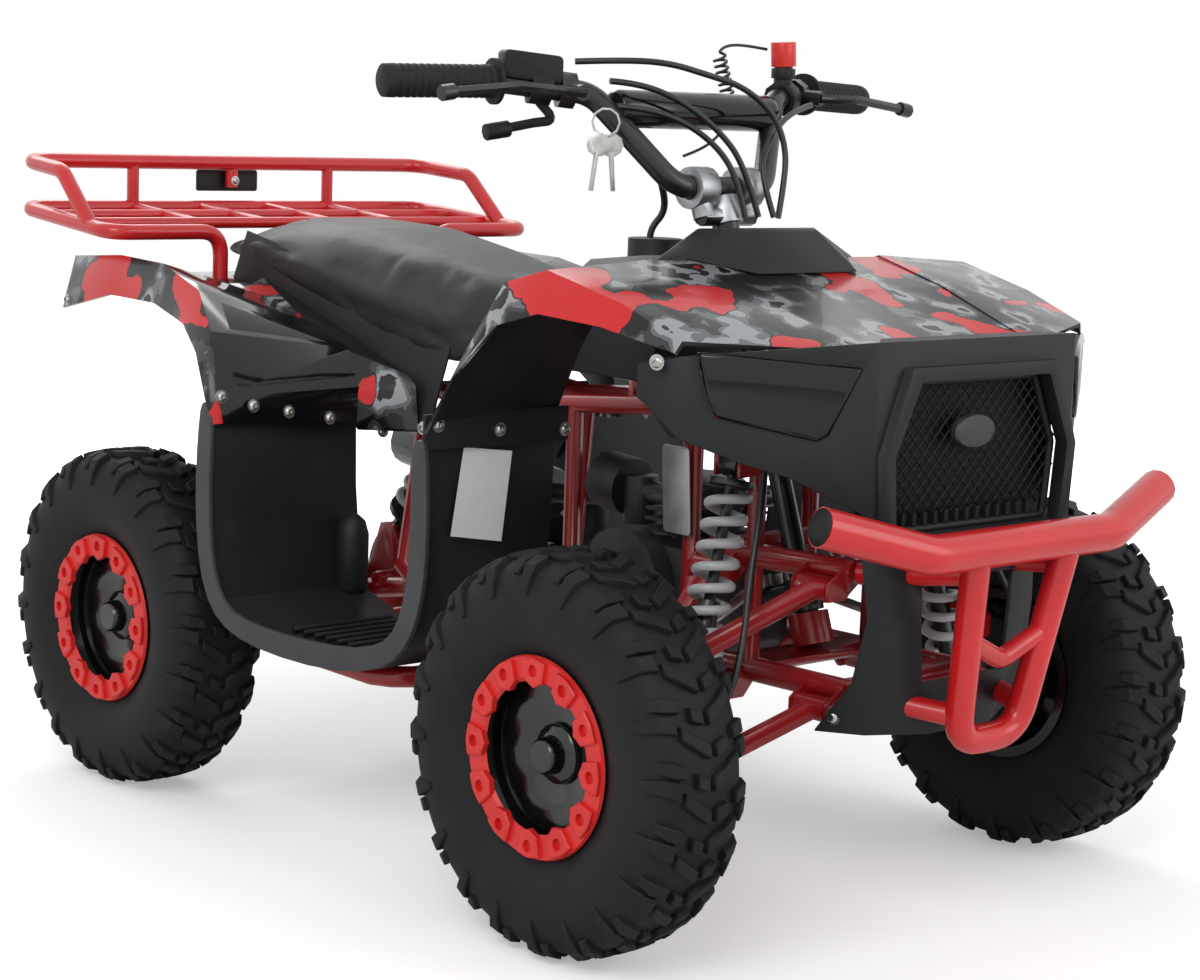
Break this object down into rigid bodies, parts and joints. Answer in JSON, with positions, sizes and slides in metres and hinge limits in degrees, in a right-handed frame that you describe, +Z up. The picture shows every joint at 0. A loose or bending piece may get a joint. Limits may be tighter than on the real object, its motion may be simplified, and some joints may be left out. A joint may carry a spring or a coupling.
{
  "type": "quad bike",
  "caption": "Small four-wheeled ridden vehicle with a tube frame, straddle seat, handlebar steering, lugged tyres, footwells, fenders and a rear rack.",
  "frame": {"origin": "on the ground, half way along and half way across", "axes": "+Z up, the front faces -Y, the vehicle's left side is +X"},
  "size_m": [0.716, 1.2524, 0.7996],
  "materials": {
    "tyre": "moulded rubber",
    "rim_black": "gloss",
    "frame_red": "gloss powder coat",
    "bumper_red": "gloss powder coat",
    "black_steel": "satin",
    "bare_steel": "machined",
    "spring_grey": "satin",
    "black_plastic": "textured",
    "gloss_plastic": "gloss with a printed pattern",
    "vinyl": "grained vinyl",
    "rubber": "moulded",
    "cast_metal": "cast",
    "cast_silver": "polished casting"
  },
  "bodies": {
    "chassis": {"frame": "frame_red", "front_bumper": "bumper_red", "nose_cowl": "black_plastic", "grille": "black_plastic", "lower_fascia": "black_plastic", "headlights": "gloss_plastic", "hood": "gloss_plastic", "hood_cap": "black_plastic", "footwell_right": "black_plastic", "footwell_left": "black_plastic", "rear_fender": "gloss_plastic", "seat": "vinyl", "rear_rack": "bumper_red", "tail_plate": "black_steel", "engine": "cast_metal", "exhaust": "black_steel", "fuel_tank": "black_plastic", "vent_hose": "rubber", "id_plate": "bare_steel", "shock_bodies": "black_steel", "shock_springs": "spring_grey", "upper_arms": "frame_red", "lower_arms": "frame_red", "swingarm": "frame_red", "chain": "bare_steel", "brake_cables": "rubber"},
    "steering": {"steering_column": "cast_silver", "handlebar": "black_steel", "bar_pad": "gloss_plastic", "grips": "rubber", "brake_levers": "black_steel", "throttle_box": "black_plastic", "kill_switch": "black_plastic", "keys": "bare_steel", "bar_cables": "rubber", "lanyard_cord": "rubber", "lanyard_coil": "rubber"},
    "knuckle_right": {"knuckle_right": "black_steel"},
    "tie_rod_right": {"tie_rod_right": "bare_steel"},
    "front_wheel_right": {"tyre_front_right": "tyre", "rim_front_right": "rim_black"},
    "knuckle_left": {"knuckle_left": "black_steel"},
    "tie_rod_left": {"tie_rod_left": "bare_steel"},
    "front_wheel_left": {"tyre_front_left": "tyre", "rim_front_left": "rim_black"},
    "rear_axle": {"rear_axle": "bare_steel", "rear_tyres": "tyre", "rear_rims": "rim_black", "sprocket_and_brake_disc": "bare_steel"}
  },
  "joints": [
    {"name": "steer", "type": "hinge", "parent": "chassis", "child": "steering", "pos_m": [0, -0.34984, 0.287], "axis": [0, 0.3384, 0.941], "range_deg": [-25, 25]},
    {"name": "knuckle_right_turn", "type": "hinge", "parent": "chassis", "child": "knuckle_right", "pos_m": [-0.224, -0.374, 0.1778], "axis": [0, 0, 1], "range_deg": [-26, 26]},
    {"name": "tie_rod_right_turn", "type": "hinge", "parent": "steering", "child": "tie_rod_right", "pos_m": [-0.013, -0.3101, 0.28759], "axis": [0, 0.3384, 0.941], "range_deg": [-26, 26]},
    {"name": "front_wheel_right_spin", "type": "hinge", "parent": "knuckle_right", "child": "front_wheel_right", "pos_m": [-0.306, -0.374, 0.1778], "axis": [1, 0, 0], "continuous": true},
    {"name": "knuckle_left_turn", "type": "hinge", "parent": "chassis", "child": "knuckle_left", "pos_m": [0.224, -0.374, 0.1778], "axis": [0, 0, 1], "range_deg": [-26, 26]},
    {"name": "tie_rod_left_turn", "type": "hinge", "parent": "steering", "child": "tie_rod_left", "pos_m": [0.013, -0.3101, 0.28759], "axis": [0, 0.3384, 0.941], "range_deg": [-26, 26]},
    {"name": "front_wheel_left_spin", "type": "hinge", "parent": "knuckle_left", "child": "front_wheel_left", "pos_m": [0.306, -0.374, 0.1778], "axis": [1, 0, 0], "continuous": true},
    {"name": "rear_axle_spin", "type": "hinge", "parent": "chassis", "child": "rear_axle", "pos_m": [0, 0.333, 0.1778], "axis": [1, 0, 0], "continuous": true}
  ],
  "couplings": [
    {"joint": "knuckle_right_turn", "follows": "steer", "ratio": 1},
    {"joint": "tie_rod_right_turn", "follows": "steer", "ratio": -1},
    {"joint": "knuckle_left_turn", "follows": "steer", "ratio": 1},
    {"joint": "tie_rod_left_turn", "follows": "steer", "ratio": -1}
  ]
}
